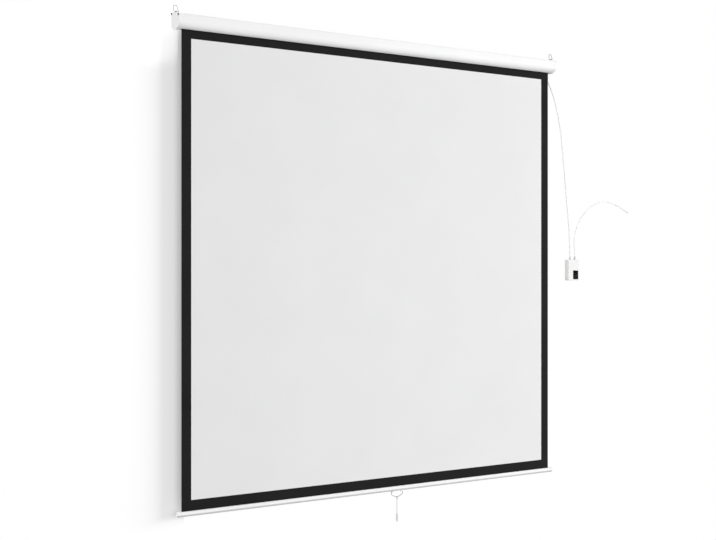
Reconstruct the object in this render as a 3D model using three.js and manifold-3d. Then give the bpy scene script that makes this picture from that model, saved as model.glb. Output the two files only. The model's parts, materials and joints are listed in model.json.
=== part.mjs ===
// Wall screen on a motor-driven roller, with a wire bail under its bar and a wired rocker switch.
// Millimetres. X runs along the casing to the motor end, Y into the wall and Z up.
// The origin is the centre of the casing's flat back, which lies on the wall.
import * as THREE from "three";
import { mergeVertices } from "three/addons/utils/BufferGeometryUtils.js";
import Module from "manifold-3d";

// Fits and tolerances
const seatGap = 0.3;
const layerGap = 0.1;
const runGap = 0.4;
const overrun = 5;
const weld = 0.0005;

// Fabric
const imageWidth = 1780;
const imageHeight = 1780;
const borderWidth = 41;
const borderTopShown = 31.5;
const fabricThick = 0.4;
const borderThick = 0.2;
const fabricToWall = 43;

// Casing section
const casingOverhang = 9;
const casingDepth = 78;
const casingHeight = 70.5;
const bellyHeight = 26.2;
const topCorner = 8;
const topFall = 15;
const frontLean = 2;
const frontBulgeShare = 0.25;
const casingWall = 1.8;
const slotWidth = 14;
const slotAhead = 1;
const portRadius = 4;
const portBore = 1.9;
const portSeatShare = 0.85;
const portMouth = 2;

// End caps and their screws
const capDepth = 14.7;
const capProud = 0.8;
const capWall = 2.2;
const capFloor = 2;
const capEdge = 1.6;
const spigotLength = 7.5;
const spigotThick = 1.6;
const screwHeadRadius = 3;
const screwHeadHeight = 1.6;
const screwShankRadius = 1.6;
const screwLength = 22;
const screwCrownShare = 0.7;
const screwSlot = 0.9;
const screwSlotDepth = 0.7;

// Hanger plates and rings
const plateThick = 2;
const plateClear = 0.5;
const eyeRadius = 2.6;
const eyeHeight = 3;
const eyeRim = 3.4;
const eyeBehindFabric = 3;
const ringWire = 1.25;
const ringWidth = 20;
const ringHeight = 24;
const ringJoint = 0.8;
const ringJointShare = 0.5;

// Roller and its idler end
const rollerRadius = 16;
const rollerWall = 1.2;
const rollerOverhang = 2;
const keyWidth = 3;
const keyDepth = 1.3;
const wrapsThick = 0.8;
const rollClearance = 2.5;
const flangeThick = 2;
const plugLength = 34;
const pinRadius = 5;
const pinLength = 30;
const collarRadius = 8;
const collarThick = 2;
const bracketSize = 30;
const bracketCorner = 5;

// Motor
const motorRadius = 12;
const motorLength = 420;
const motorEndRadius = 10.5;
const motorEndLength = 6;
const shaftRadius = 4;
const shaftLength = 16;
const shaftInside = 12;
const shaftFlat = 2.8;
const wheelLength = 12;
const wheelHoleRadius = 2.6;
const crownLength = 26;
const headRadius = 15;
const headLength = 11.5;
const headStep = 1;
const squareShaft = 9;
const squareCorner = 1.5;
const limitScrewRadius = 1.7;
const limitScrewLength = 8;
const limitScrewProud = 2;
const limitScrewSpacing = 10;

// Bottom bar
const barOverhang = 17;
const barHeight = 20;
const barDepth = 16;
const barTopCorner = 3;
const barLowCorner = 6.5;
const barWall = 1.6;
const hemRadius = 2;
const hemThroat = 2.6;
const hemDepth = 6.5;
const barFloorDepth = 11.5;
const barCapThick = 2.7;
const barPlugLength = 9;
const barStopGap = 4;

// Bail under the bar
const bailOffCentre = 72;
const bailWidth = 60;
const bailHeight = 24.5;
const bailWire = 1.25;
const footShare = 0.783;
const footWidth = 6;
const footDepth = 9;
const footHeight = 6;
const footCorner = 2.4;

// Pull cord and knob
const pullRadius = 1.2;
const pullLength = 68.5;
const knotRadius = 2.6;
const knotBelow = 6;
const knobLength = 38;
const knobRadius = 4.5;
const knobNeck = 2.2;

// Mains leads
const leadRadius = 3;
const reliefLength = 13;
const reliefBase = 5.4;
const reliefTip = 3.5;
const shoulderRadius = 5.8;
const shoulderHeight = 3;
const shoulderDrop = 1.6;
const neckRadius = 3.7;
const neckInside = 6;
const glandFromJoint = 5.7;
const sleeveRadius = 4;
const sleeveLength = 20;
const sleeveBore = 2.4;
const sleeveBoreDepth = 5;
const innerLeadRadius = 2.2;

// Rocker switch
const switchBeyond = 157;
const switchDrop = 874.5;
const switchWidth = 68;
const switchHeight = 99;
const switchDepth = 25;
const baseDepth = 9;
const switchWall = 2;
const switchCorner = 5;
const switchEdge = 2;
const reliefSpacing = 30.5;
const rockerWidth = 23;
const rockerHeight = 32.5;
const rockerProud = 3.5;
const rockerDish = 2.6;
const rockerThick = 9;
const rockerTilt = 8;
const rockerRight = 22;
const rockerUp = 26.5;
const axleBehindCover = 3;
const axleRadius = 1.5;
const axleLength = 1.4;
const bezelRim = 2;
const bezelProud = 1.2;
const bezelSkirt = 11;
const bezelSkirtWall = 1.7;
const bezelCorner = 2;
const blockWidth = 26;
const blockHeight = 14;
const blockDepth = 7;
const blockDrop = 25;
const blockBore = 2.2;
const pillarRadius = 3.6;
const pillarEdge = 7;
const coverScrewLength = 15;

// Levels and places worked out from the sizes
const fallAngle = Math.atan2(topFall, casingDepth);
const cornerDrop = topCorner * (1 / Math.cos(fallAngle) + Math.tan(fallAngle));
const flatBack = casingHeight - bellyHeight - cornerDrop;
const casingTop = flatBack / 2 + cornerDrop;
const topAt = (y, inset = 0) => casingTop + y * Math.tan(fallAngle) - inset / Math.cos(fallAngle);
const bellyLevel = -flatBack / 2;
const slotLevel = bellyLevel - bellyHeight;
const fabricHalf = imageWidth / 2 + borderWidth;
const casingEnd = fabricHalf + casingOverhang;
const capStart = casingEnd + seatGap;
const capEnd = capStart + capDepth;
const capInside = capEnd - capFloor;
const fabricY = -fabricToWall;
const fabricBack = fabricY + fabricThick / 2;
const fabricFront = fabricY - fabricThick / 2;
const drop = borderTopShown + imageHeight + borderWidth;
const wrapsInner = rollerRadius + layerGap;
const wrapsOuter = wrapsInner + wrapsThick;
const fullRoll = Math.sqrt(wrapsOuter * wrapsOuter + (drop * fabricThick) / Math.PI);
const rollerY = fabricBack + layerGap + wrapsOuter;
const rollerZ = topAt(rollerY, casingWall + fullRoll + rollClearance);
const rollerHalf = fabricHalf + rollerOverhang;
const rollerBore = rollerRadius - rollerWall;
const plateOuter = capInside - seatGap;
const plateInner = plateOuter - plateThick;
const bracketOuter = plateInner - seatGap;
const bracketInner = bracketOuter - plateThick;
const stripTop = slotLevel - drop + borderWidth;
const barTop = slotLevel - drop;
const barBottom = barTop - barHeight;
const barHalf = fabricHalf + barOverhang;
const eyeY = fabricY + eyeBehindFabric;
const eyeZ = topAt(eyeY) + eyeHeight;
const ringZ = eyeZ + eyeRadius - ringWire - seatGap;
const tabHalf = eyeRadius + eyeRim;
const pivotZ = barBottom - footHeight / 2 - seatGap;
const apexZ = pivotZ - bailHeight;
const glandX = capStart + glandFromJoint;
const glandY = rollerY;
const glandZ = slotLevel - shoulderDrop;
const switchX = capEnd + switchBeyond;
const switchTop = slotLevel - switchDrop;
const reliefY = -(switchDepth + baseDepth) / 2 + switchWall;
const reliefReach = shoulderHeight + reliefLength + seatGap;

// Chords of round outlines
const smallChords = 12;
const cornerChords = 3;
const bellyChords = 16;
const topChords = 4;
const rollerChords = 28;
const wireSides = 8;

// Materials
const coat = (color, roughness, metalness = 0) =>
  new THREE.MeshStandardMaterial({ color, roughness, metalness });
const whitePaint = coat(0xf1f1f0, 0.35);
const whitePlastic = coat(0xededeb, 0.45);
const matteWhite = coat(0xe4e5e6, 0.9);
const blackCloth = coat(0x262627, 0.85);
const zinc = coat(0xb4b6b8, 0.4, 0.9);
const darkMetal = coat(0x1c1c1d, 0.5, 0.4);
const aluminium = coat(0xc9cbcd, 0.35, 0.85);
const blackPlastic = coat(0x18181a, 0.4);
const leadSheath = coat(0xdcdcda, 0.5);
const greyPlastic = coat(0xbcbdc1, 0.5);

// Booleans on closed geometries
const wasm = await Module();
wasm.setup();

function solidOf(geometry) {
  const bare = geometry.clone();
  bare.deleteAttribute("normal");
  bare.deleteAttribute("uv");
  const merged = mergeVertices(bare, weld);
  const vertProperties = merged.attributes.position.array;
  const triVerts = new Uint32Array(merged.index.array);
  return new wasm.Manifold(new wasm.Mesh({ numProp: 3, vertProperties, triVerts }));
}

function carve(base, added, removed) {
  let solid = solidOf(base);
  for (const piece of added) solid = solid.add(solidOf(piece));
  for (const piece of removed) solid = solid.subtract(solidOf(piece));
  const mesh = solid.getMesh();
  const geometry = new THREE.BufferGeometry();
  geometry.setAttribute("position", new THREE.BufferAttribute(mesh.vertProperties, 3));
  geometry.setIndex(new THREE.BufferAttribute(mesh.triVerts, 1));
  geometry.computeVertexNormals();
  return geometry;
}

// Prisms: a YZ outline run along X, and an XZ outline run from the wall towards the room
const alongXBasis = new THREE.Matrix4().makeBasis(
  new THREE.Vector3(0, 1, 0),
  new THREE.Vector3(0, 0, 1),
  new THREE.Vector3(1, 0, 0),
);
const outwardBasis = new THREE.Matrix4().makeBasis(
  new THREE.Vector3(1, 0, 0),
  new THREE.Vector3(0, 0, 1),
  new THREE.Vector3(0, -1, 0),
);

function prismX(shape, from, to) {
  const geometry = new THREE.ExtrudeGeometry(shape, { depth: to - from, bevelEnabled: false });
  return geometry.applyMatrix4(alongXBasis).translate(from, 0, 0);
}

function prismOut(shape, from, depth) {
  const geometry = new THREE.ExtrudeGeometry(shape, { depth, bevelEnabled: false });
  return geometry.applyMatrix4(outwardBasis).translate(0, from, 0);
}

function boxBetween(low, high) {
  const size = high.map((value, axis) => value - low[axis]);
  const middle = high.map((value, axis) => (value + low[axis]) / 2);
  return new THREE.BoxGeometry(...size).translate(...middle);
}

// Outlines as short chords: an arc has the number of chords that it is given
function arc(x, y, radiusX, radiusY, from, to, chords) {
  return Array.from({ length: chords + 1 }, (_, i) => {
    const angle = from + ((to - from) * i) / chords;
    return new THREE.Vector2(x + radiusX * Math.cos(angle), y + radiusY * Math.sin(angle));
  });
}

function circle(x, y, radius, chords = smallChords) {
  return new THREE.Shape(arc(x, y, radius, radius, 0, 2 * Math.PI, chords).slice(1));
}

function roundedRectangle(left, bottom, right, top, corner, chords = cornerChords) {
  const turn = Math.PI / 2;
  return new THREE.Shape([
    ...arc(right - corner, bottom + corner, corner, corner, -turn, 0, chords),
    ...arc(right - corner, top - corner, corner, corner, 0, turn, chords),
    ...arc(left + corner, top - corner, corner, corner, turn, 2 * turn, chords),
    ...arc(left + corner, bottom + corner, corner, corner, 2 * turn, 3 * turn, chords),
  ]);
}

// Turned pieces: the profile is a list of [radius, height] from the low end on the axis to the high end
function turned(profile, segments = smallChords) {
  return new THREE.LatheGeometry(
    profile.map(([radius, height]) => new THREE.Vector2(radius, height)),
    segments,
  );
}

const upZ = (geometry) => geometry.rotateX(Math.PI / 2);
const downZ = (geometry) => geometry.rotateX(-Math.PI / 2);
const towardsX = (geometry) => geometry.rotateZ(-Math.PI / 2);

function rod(radius, length, segments = smallChords) {
  return turned([[0, 0], [radius, 0], [radius, length], [0, length]], segments);
}

function tube(points, radius, steps, count = wireSides) {
  const section = new THREE.Shape();
  for (let i = 0; i < count; i += 1) {
    const angle = (2 * Math.PI * i) / count;
    const corner = [radius * Math.cos(angle), radius * Math.sin(angle)];
    if (i === 0) section.moveTo(...corner);
    else section.lineTo(...corner);
  }
  section.closePath();
  const places = points.map((point) => new THREE.Vector3(...point));
  const extrudePath = new THREE.CatmullRomCurve3(places, false, "centripetal");
  return new THREE.ExtrudeGeometry(section, { steps, extrudePath });
}

// The part
const screen = new THREE.Group();

function put(name, geometry, material) {
  const mesh = new THREE.Mesh(geometry, material);
  mesh.name = name;
  screen.add(mesh);
}

// Casing outline, drawn inwards by an inset
function casingOutline(inset) {
  const front = -casingDepth + inset;
  const back = -inset;
  const corner = Math.max(topCorner - inset, inset);
  const rearY = back - corner;
  const frontY = front + frontLean + corner;
  const rearZ = topAt(rearY, inset + corner);
  const frontZ = topAt(frontY, inset + corner);
  const alongTop = Math.PI / 2 + fallAngle;
  const half = casingDepth / 2;
  const middle = -half;
  const bulge = new THREE.Vector2(front + frontLean * frontBulgeShare, (frontZ + bellyLevel) / 2);
  return new THREE.Shape([
    ...arc(middle, bellyLevel, half - inset, bellyHeight - inset, Math.PI, 2 * Math.PI, bellyChords),
    ...arc(rearY, rearZ, corner, corner, 0, alongTop, topChords),
    ...arc(frontY, frontZ, corner, corner, alongTop, Math.PI, topChords),
    bulge,
  ]);
}

// Screw places in the two upper corners of the section
const portEdge = portRadius + casingWall * portSeatShare;
const frontPort = -casingDepth + frontLean + portEdge;
const screwPlaces = [
  { side: "rear", y: -portEdge, z: topAt(-portEdge, portEdge) },
  { side: "front", y: frontPort, z: topAt(frontPort, portEdge) },
];

// Casing: a thin extrusion with a slot below and a screw port in each upper corner
function makeCasing() {
  const ports = screwPlaces.map(({ y, z }) => prismX(circle(y, z, portRadius), -casingEnd, casingEnd));
  const from = -casingEnd - overrun;
  const to = casingEnd + overrun;
  const shell = carve(
    prismX(casingOutline(0), -casingEnd, casingEnd),
    [],
    [
      prismX(casingOutline(casingWall), from, to),
      boxBetween(
        [from, fabricY - slotAhead - slotWidth / 2, slotLevel - overrun],
        [to, fabricY - slotAhead + slotWidth / 2, bellyLevel],
      ),
    ],
  );
  const bores = screwPlaces.map(({ y, z }) => prismX(circle(y, z, portBore), from, to));
  const mouths = screwPlaces.map(({ y, z }) =>
    boxBetween([from, y - portMouth / 2, z - portRadius - seatGap], [to, y + portMouth / 2, z]),
  );
  put("casing", carve(shell, ports, [...bores, ...mouths]), whitePaint);
}

// Side is -1 for the idler end and 1 for the motor end: shapes are drawn at the motor end and mirrored
function mirrorX(geometry) {
  const mirrored = geometry.clone().scale(-1, 1, 1);
  const index = mirrored.index
    ? mirrored.index.array
    : Uint32Array.from({ length: mirrored.attributes.position.count }, (_, i) => i);
  const turnedRound = new Uint32Array(index.length);
  for (let i = 0; i < index.length; i += 3) {
    turnedRound.set([index[i], index[i + 2], index[i + 1]], i);
  }
  return mirrored.setIndex(new THREE.BufferAttribute(turnedRound, 1));
}

const atSide = (geometry, side) => (side < 0 ? mirrorX(geometry) : geometry);

function capBlock() {
  const geometry = new THREE.ExtrudeGeometry(casingOutline(-capProud), {
    depth: capDepth - capEdge,
    bevelEnabled: true,
    bevelThickness: capEdge,
    bevelSize: capEdge,
    bevelOffset: -capEdge,
    bevelSegments: 2,
  });
  return geometry.applyMatrix4(alongXBasis).translate(capStart, 0, 0);
}

// End cap: a cup with filleted edges and a flat back, a spigot in the casing and a pillar for each screw
function makeCap(name, side) {
  const tall = casingHeight + overrun;
  const spigotSkin = casingWall + seatGap;
  const spigotStart = capStart - spigotLength;
  const belowCorners = boxBetween(
    [spigotStart - overrun, -casingDepth, bellyLevel],
    [capStart, 0, bellyLevel + tall],
  );
  const spigotRoom = prismX(casingOutline(spigotSkin + spigotThick), spigotStart - overrun, capStart + tall);
  const spigot = carve(
    prismX(casingOutline(spigotSkin), spigotStart, capStart + capFloor),
    [],
    [spigotRoom, belowCorners],
  );
  const cup = carve(
    capBlock(),
    [],
    [
      prismX(casingOutline(capWall - capProud), capStart - overrun, capInside),
      boxBetween(
        [capStart - overrun, -casingDepth - overrun, slotLevel - overrun],
        [capStart, overrun, casingTop + overrun],
      ),
    ],
  );
  const wallSide = boxBetween(
    [capStart - overrun, 0, slotLevel - overrun],
    [capEnd + overrun, overrun, casingTop + overrun],
  );
  const pillars = screwPlaces.map(({ y, z }) =>
    prismX(circle(y, z, portRadius), capStart, capInside + capFloor / 2),
  );
  const holes = screwPlaces.map(({ y, z }) =>
    prismX(circle(y, z, portBore), capStart - overrun, capEnd + overrun),
  );
  const seats = screwPlaces.map(({ y, z }) =>
    prismX(circle(y, z, screwHeadRadius + seatGap), capEnd - screwHeadHeight / 2, capEnd + overrun),
  );
  const tabHole = boxBetween(
    [plateInner - seatGap, eyeY - tabHalf - seatGap, topAt(eyeY - tabHalf, capWall + seatGap)],
    [capInside, eyeY + tabHalf + seatGap, casingTop + overrun],
  );
  const removed = [...holes, ...seats, tabHole, wallSide];
  const glandHole = upZ(rod(neckRadius + seatGap, tall / 2)).translate(glandX, glandY, slotLevel - overrun);
  if (side > 0) removed.push(glandHole);
  put(name, atSide(carve(cup, [spigot, ...pillars], removed), side), whitePlastic);
}

// A pan head on a plain shank, with a driver slot; the axis is X and the head faces outwards
function screwGeometry(headRadius, headHeight, shankRadius, length) {
  const body = turned(
    [
      [0, -length],
      [shankRadius, -length],
      [shankRadius, 0],
      [headRadius, 0],
      [headRadius, headHeight / 2],
      [headRadius * screwCrownShare, headHeight],
      [0, headHeight],
    ],
  );
  const slot = boxBetween(
    [-headRadius - overrun, headHeight - screwSlotDepth, -screwSlot / 2],
    [headRadius + overrun, headHeight + overrun, screwSlot / 2],
  );
  return carve(body, [], [slot]);
}

function makeCapScrews(end, side) {
  const seat = capEnd - screwHeadHeight / 2 + layerGap;
  for (const place of screwPlaces) {
    const screw = screwGeometry(screwHeadRadius, screwHeadHeight, screwShankRadius, screwLength);
    const placed = towardsX(screw).translate(seat, place.y, place.z);
    put(`cap_screw_${end}_${place.side}`, atSide(placed, side), darkMetal);
  }
}

// Hanger plate: fills the cap's cup behind its floor, with an eye standing above the casing
function makeHangerPlate(name, side) {
  const clear = capWall - capProud + plateClear;
  const tab = new THREE.Shape([
    new THREE.Vector2(eyeY - tabHalf, eyeZ - eyeHeight - topCorner),
    new THREE.Vector2(eyeY + tabHalf, eyeZ - eyeHeight - topCorner),
    ...arc(eyeY, eyeZ, tabHalf, tabHalf, 0, Math.PI, 2 * topChords),
  ]);
  const through = [plateInner - overrun, plateOuter + overrun];
  const plate = carve(
    prismX(casingOutline(clear), plateInner, plateOuter),
    [prismX(tab, plateInner, plateOuter)],
    [
      prismX(circle(eyeY, eyeZ, eyeRadius), ...through),
      ...screwPlaces.map(({ y, z }) => prismX(circle(y, z, portRadius + runGap), ...through)),
    ],
  );
  put(name, atSide(plate, side), zinc);
}

// Hang ring: bent wire, leaning to the left at both ends, with its butt joint beside the eye
const ringXShares = [0.75, 1, 0.917, 0.31, 0.06, -0.19, -0.815, -1, -1, -0.958, -0.75, 0];
const ringZShares = [0, 0.05, 0.145, 0.855, 0.975, 1, 1, 0.895, 0.145, 0.035, 0, 0];

function makeRing(name, side) {
  const middle = side * (plateInner + plateThick / 2);
  const half = ringWidth / 2;
  const joint = middle + half * ringJointShare;
  const bends = ringXShares.map((share, i) => [middle + share * half, ringZ + ringZShares[i] * ringHeight]);
  const line = [[joint + ringJoint / 2, ringZ], ...bends, [joint - ringJoint / 2, ringZ]];
  put(name, tube(line.map(([x, z]) => [x, eyeY, z]), ringWire, 34), zinc);
}

// Roller tube with an inward key along its bore
function makeRoller() {
  const from = -rollerHalf - overrun;
  const to = rollerHalf + overrun;
  const key = boxBetween(
    [-rollerHalf, rollerY - keyWidth / 2, rollerZ + rollerBore - keyDepth],
    [rollerHalf, rollerY + keyWidth / 2, rollerZ + rollerBore + rollerWall / 2],
  );
  const bare = carve(
    prismX(circle(rollerY, rollerZ, rollerRadius, rollerChords), -rollerHalf, rollerHalf),
    [],
    [prismX(circle(rollerY, rollerZ, rollerBore, rollerChords), from, to)],
  );
  put("roller_tube", carve(bare, [key], []), aluminium);
  const wraps = carve(
    prismX(circle(rollerY, rollerZ, wrapsOuter, rollerChords), -fabricHalf, fabricHalf),
    [],
    [prismX(circle(rollerY, rollerZ, wrapsInner, rollerChords), from, to)],
  );
  put("spare_wraps", wraps, blackCloth);
}

// Notch that lets a plug in the roller clear the key
function keyNotch(from, to) {
  return boxBetween(
    [from, rollerY - keyWidth / 2 - seatGap, rollerZ + rollerBore - keyDepth - seatGap],
    [to, rollerY + keyWidth / 2 + seatGap, rollerZ + rollerRadius],
  );
}

const onRoller = (geometry, x) => geometry.translate(x, rollerY, rollerZ);
const squareRound = (half, corner) =>
  roundedRectangle(rollerY - half, rollerZ - half, rollerY + half, rollerZ + half, corner);

// Idler end: a flanged plug in the tube turns on a fixed pin with a collar
function makeIdler() {
  const plugRadius = rollerBore - seatGap;
  const seat = rollerHalf + seatGap;
  const plugProfile = [
    [pinRadius + seatGap, 0],
    [rollerRadius, 0],
    [rollerRadius, flangeThick],
    [plugRadius, flangeThick],
    [plugRadius, flangeThick + plugLength],
    [pinRadius + seatGap, flangeThick + plugLength],
    [pinRadius + seatGap, 0],
  ];
  const plug = onRoller(towardsX(turned(plugProfile, rollerChords)), -seat - flangeThick);
  const notch = keyNotch(-seat + seatGap / 2, -seat + plugLength + overrun);
  put("idler_plug", carve(plug, [], [notch]), blackPlastic);
  const collarStart = seat + flangeThick + runGap;
  const collarEnd = collarStart + collarThick;
  const pin = turned([
    [0, -pinLength],
    [pinRadius, -pinLength],
    [pinRadius, 0],
    [collarRadius, 0],
    [collarRadius, collarThick],
    [pinRadius, collarThick],
    [pinRadius, bracketOuter - collarStart],
    [0, bracketOuter - collarStart],
  ]);
  put("idler_pin", mirrorX(onRoller(towardsX(pin), collarStart)), zinc);
  const hole = prismX(
    circle(rollerY, rollerZ, pinRadius + layerGap),
    bracketInner - overrun, bracketOuter + overrun,
  );
  const plate = carve(bracketPlate(bracketInner, bracketOuter), [], [hole]);
  const spacer = carve(
    prismX(circle(rollerY, rollerZ, collarRadius), collarEnd + layerGap, bracketInner + plateThick / 2),
    [],
    [hole, prismX(circle(rollerY, rollerZ, pinRadius + layerGap), collarEnd - overrun, bracketInner)],
  );
  put("idler_bracket", mirrorX(carve(plate, [spacer], [])), zinc);
}

function bracketPlate(from, to) {
  return prismX(squareRound(bracketSize / 2, bracketCorner), from, to);
}

// Motor end: the head stays still in its bracket, and the shaft turns the drive wheel and the tube
function makeMotor() {
  const headStart = rollerHalf + headStep;
  const headEnd = headStart + headLength;
  const motorStart = headStart - layerGap - motorLength;
  const shaftHole = shaftRadius + seatGap;
  const can = turned([
    [0, shaftInside - motorEndLength + seatGap],
    [shaftHole, shaftInside - motorEndLength + seatGap],
    [shaftHole, -motorEndLength],
    [motorEndRadius, -motorEndLength],
    [motorEndRadius, 0],
    [motorRadius, 0],
    [motorRadius, motorLength],
    [0, motorLength],
  ], rollerChords);
  put("motor_tube", onRoller(towardsX(can), motorStart), zinc);

  const shaftStart = motorStart - motorEndLength - shaftLength;
  const shaft = onRoller(towardsX(rod(shaftRadius, shaftLength + shaftInside, rollerChords)), shaftStart);
  const flat = boxBetween(
    [shaftStart - overrun, rollerY - shaftRadius, rollerZ + shaftFlat],
    [motorStart - motorEndLength, rollerY + shaftRadius, rollerZ + shaftRadius + overrun],
  );
  put("motor_shaft", carve(shaft, [], [flat]), zinc);

  const wheelEnd = motorStart - motorEndLength - runGap;
  const wheelStart = wheelEnd - wheelLength;
  const wheelRadius = rollerBore - seatGap;
  const bore = carve(
    prismX(circle(rollerY, rollerZ, shaftRadius + seatGap), wheelStart - overrun, wheelEnd + overrun),
    [],
    [
      boxBetween(
        [wheelStart - 2 * overrun, rollerY - motorRadius, rollerZ + shaftFlat + seatGap],
        [wheelEnd + 2 * overrun, rollerY + motorRadius, rollerZ + motorRadius],
      ),
    ],
  );
  const ports = [0, 1, 2].map((i) => {
    const angle = -Math.PI / 2 + ((i - 1) * 2 * Math.PI) / 3;
    const reach = (shaftRadius + wheelRadius) / 2;
    const y = rollerY + reach * Math.cos(angle);
    const z = rollerZ + reach * Math.sin(angle);
    return prismX(circle(y, z, wheelHoleRadius), wheelStart - overrun, wheelEnd + overrun);
  });
  const wheel = carve(
    prismX(circle(rollerY, rollerZ, wheelRadius, rollerChords), wheelStart, wheelEnd),
    [],
    [bore, ...ports, keyNotch(wheelStart - overrun, wheelEnd + overrun)],
  );
  put("drive_wheel", wheel, blackPlastic);

  const crownEnd = rollerHalf;
  const crownStart = crownEnd - crownLength;
  const crown = carve(
    prismX(circle(rollerY, rollerZ, wheelRadius, rollerChords), crownStart, crownEnd),
    [],
    [
      prismX(
        circle(rollerY, rollerZ, motorRadius + seatGap, rollerChords),
        crownStart - overrun, crownEnd + overrun,
      ),
      keyNotch(crownStart - overrun, crownEnd + overrun),
    ],
  );
  put("motor_crown", crown, blackPlastic);

  const square = prismX(squareRound(squareShaft / 2, squareCorner), headEnd - headStep, bracketOuter);
  const disc = turned([
    [0, 0],
    [headRadius - headStep, 0],
    [headRadius, headStep],
    [headRadius, headLength - headStep],
    [headRadius - headStep, headLength],
    [0, headLength],
  ], rollerChords);
  const screwTop = rollerZ - headRadius - limitScrewProud + limitScrewLength;
  const screwX = headStart + headStep + limitScrewRadius * 2;
  const screwYs = [-1, 1].map((step) => rollerY + (step * limitScrewSpacing) / 2);
  const holes = screwYs.map((y) =>
    downZ(rod(limitScrewRadius + layerGap, limitScrewLength + overrun))
      .translate(screwX, y, screwTop + layerGap),
  );
  const head = carve(onRoller(towardsX(disc), headStart), [square], holes);
  put("motor_head", head, blackPlastic);
  screwYs.forEach((y, i) => {
    const screw = downZ(rod(limitScrewRadius, limitScrewLength)).translate(screwX, y, screwTop);
    put(i === 0 ? "limit_screw_down" : "limit_screw_up", screw, greyPlastic);
  });

  const socket = prismX(
    squareRound(squareShaft / 2 + layerGap, squareCorner),
    bracketInner - overrun, bracketOuter + overrun,
  );
  put("motor_bracket", carve(bracketPlate(bracketInner, bracketOuter), [], [socket]), zinc);
  const leadX = headEnd - headStep - innerLeadRadius;
  const leadTop = rollerZ - headRadius - seatGap;
  const leadFoot = glandZ + neckInside + seatGap;
  const lead = [
    [leadX, rollerY, leadTop],
    [leadX, rollerY, leadTop - innerLeadRadius],
    [glandX, glandY, leadFoot + innerLeadRadius],
    [glandX, glandY, leadFoot],
  ];
  put("motor_lead", tube(lead, innerLeadRadius, 8), leadSheath);
}

// Fabric and its black borders
function makeFabric() {
  const sheetLow = stripTop + layerGap;
  const borderBack = fabricFront - layerGap;
  const borderFront = borderBack - borderThick;
  const imageTop = slotLevel - borderTopShown;
  const half = imageWidth / 2;
  const sheet = (from, to, low, high) => boxBetween([from, fabricFront, low], [to, fabricBack, high]);
  const border = (from, to, low, high) => boxBetween([from, borderFront, low], [to, borderBack, high]);
  put("screen_fabric", sheet(-fabricHalf, fabricHalf, sheetLow, rollerZ), matteWhite);
  put("border_top", border(layerGap - half, half - layerGap, imageTop, rollerZ), blackCloth);
  put("border_left", border(-fabricHalf, -half, sheetLow, rollerZ), blackCloth);
  put("border_right", border(half, fabricHalf, sheetLow, rollerZ), blackCloth);
  put("border_bottom", border(-fabricHalf, fabricHalf, barTop, stripTop), blackCloth);

  const rodZ = barTop - hemDepth;
  const sleeve = carve(
    prismX(circle(fabricY, rodZ, hemRadius + layerGap + fabricThick), -fabricHalf, fabricHalf),
    [],
    [prismX(circle(fabricY, rodZ, hemRadius + layerGap), -fabricHalf - overrun, fabricHalf + overrun)],
  );
  const strap = sheet(-fabricHalf, fabricHalf, rodZ + hemRadius + layerGap + fabricThick / 2, stripTop);
  put("hem_strip", carve(strap, [sleeve], []), matteWhite);
  put("hem_rod", prismX(circle(fabricY, rodZ, hemRadius), -fabricHalf, fabricHalf), greyPlastic);
}

function barOutline(inset) {
  const half = barDepth / 2 - inset;
  const low = barBottom + inset;
  const top = barTop - inset;
  const wide = Math.max(barLowCorner - inset, inset);
  const tight = Math.max(barTopCorner - inset, inset);
  const turn = Math.PI / 2;
  return new THREE.Shape([
    ...arc(fabricY + half - wide, low + wide, wide, wide, -turn, 0, topChords),
    ...arc(fabricY + half - tight, top - tight, tight, tight, 0, turn, cornerChords),
    ...arc(fabricY - half + tight, top - tight, tight, tight, turn, 2 * turn, cornerChords),
    ...arc(fabricY - half + wide, low + wide, wide, wide, 2 * turn, 3 * turn, topChords),
  ]);
}

// Bottom bar: an extrusion with a keyhole groove for the hem and a hollow below it
function hollowTool(inset, from, to) {
  const room = prismX(barOutline(barWall + inset), from, to);
  const ceiling = boxBetween(
    [from - overrun, fabricY - barDepth, barTop - barFloorDepth - inset],
    [to + overrun, fabricY + barDepth, barTop + overrun],
  );
  return carve(room, [], [ceiling]);
}

function makeBar() {
  const from = -barHalf - overrun;
  const to = barHalf + overrun;
  const rodZ = barTop - hemDepth;
  const groove = prismX(circle(fabricY, rodZ, hemRadius + fabricThick + runGap), from, to);
  const throat = boxBetween(
    [from, fabricY - hemThroat / 2, rodZ],
    [to, fabricY + hemThroat / 2, barTop + overrun],
  );
  const bar = carve(prismX(barOutline(0), -barHalf, barHalf), [], [groove, throat, hollowTool(0, from, to)]);
  put("bottom_bar", bar, whitePaint);
  for (const [name, side] of [["bar_cap_left", -1], ["bar_cap_right", 1]]) {
    const start = barHalf + layerGap;
    const face = prismX(barOutline(0), start, start + barCapThick);
    const plug = hollowTool(seatGap, barHalf - barPlugLength, start + barCapThick / 2);
    put(name, atSide(carve(face, [plug], []), side), whitePlastic);
  }
}

// Bail: bent wire whose inturned ends lie in two feet under the bar
const bailXShares = [0.64, footShare, 0.9, 0.972, 1, 0.987, 0.867, 0.533, 0.18, 0.06];
const bailZShares = [0, 0, 0, 0.08, 0.22, 0.38, 0.56, 0.77, 0.95, 0.995];

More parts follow.
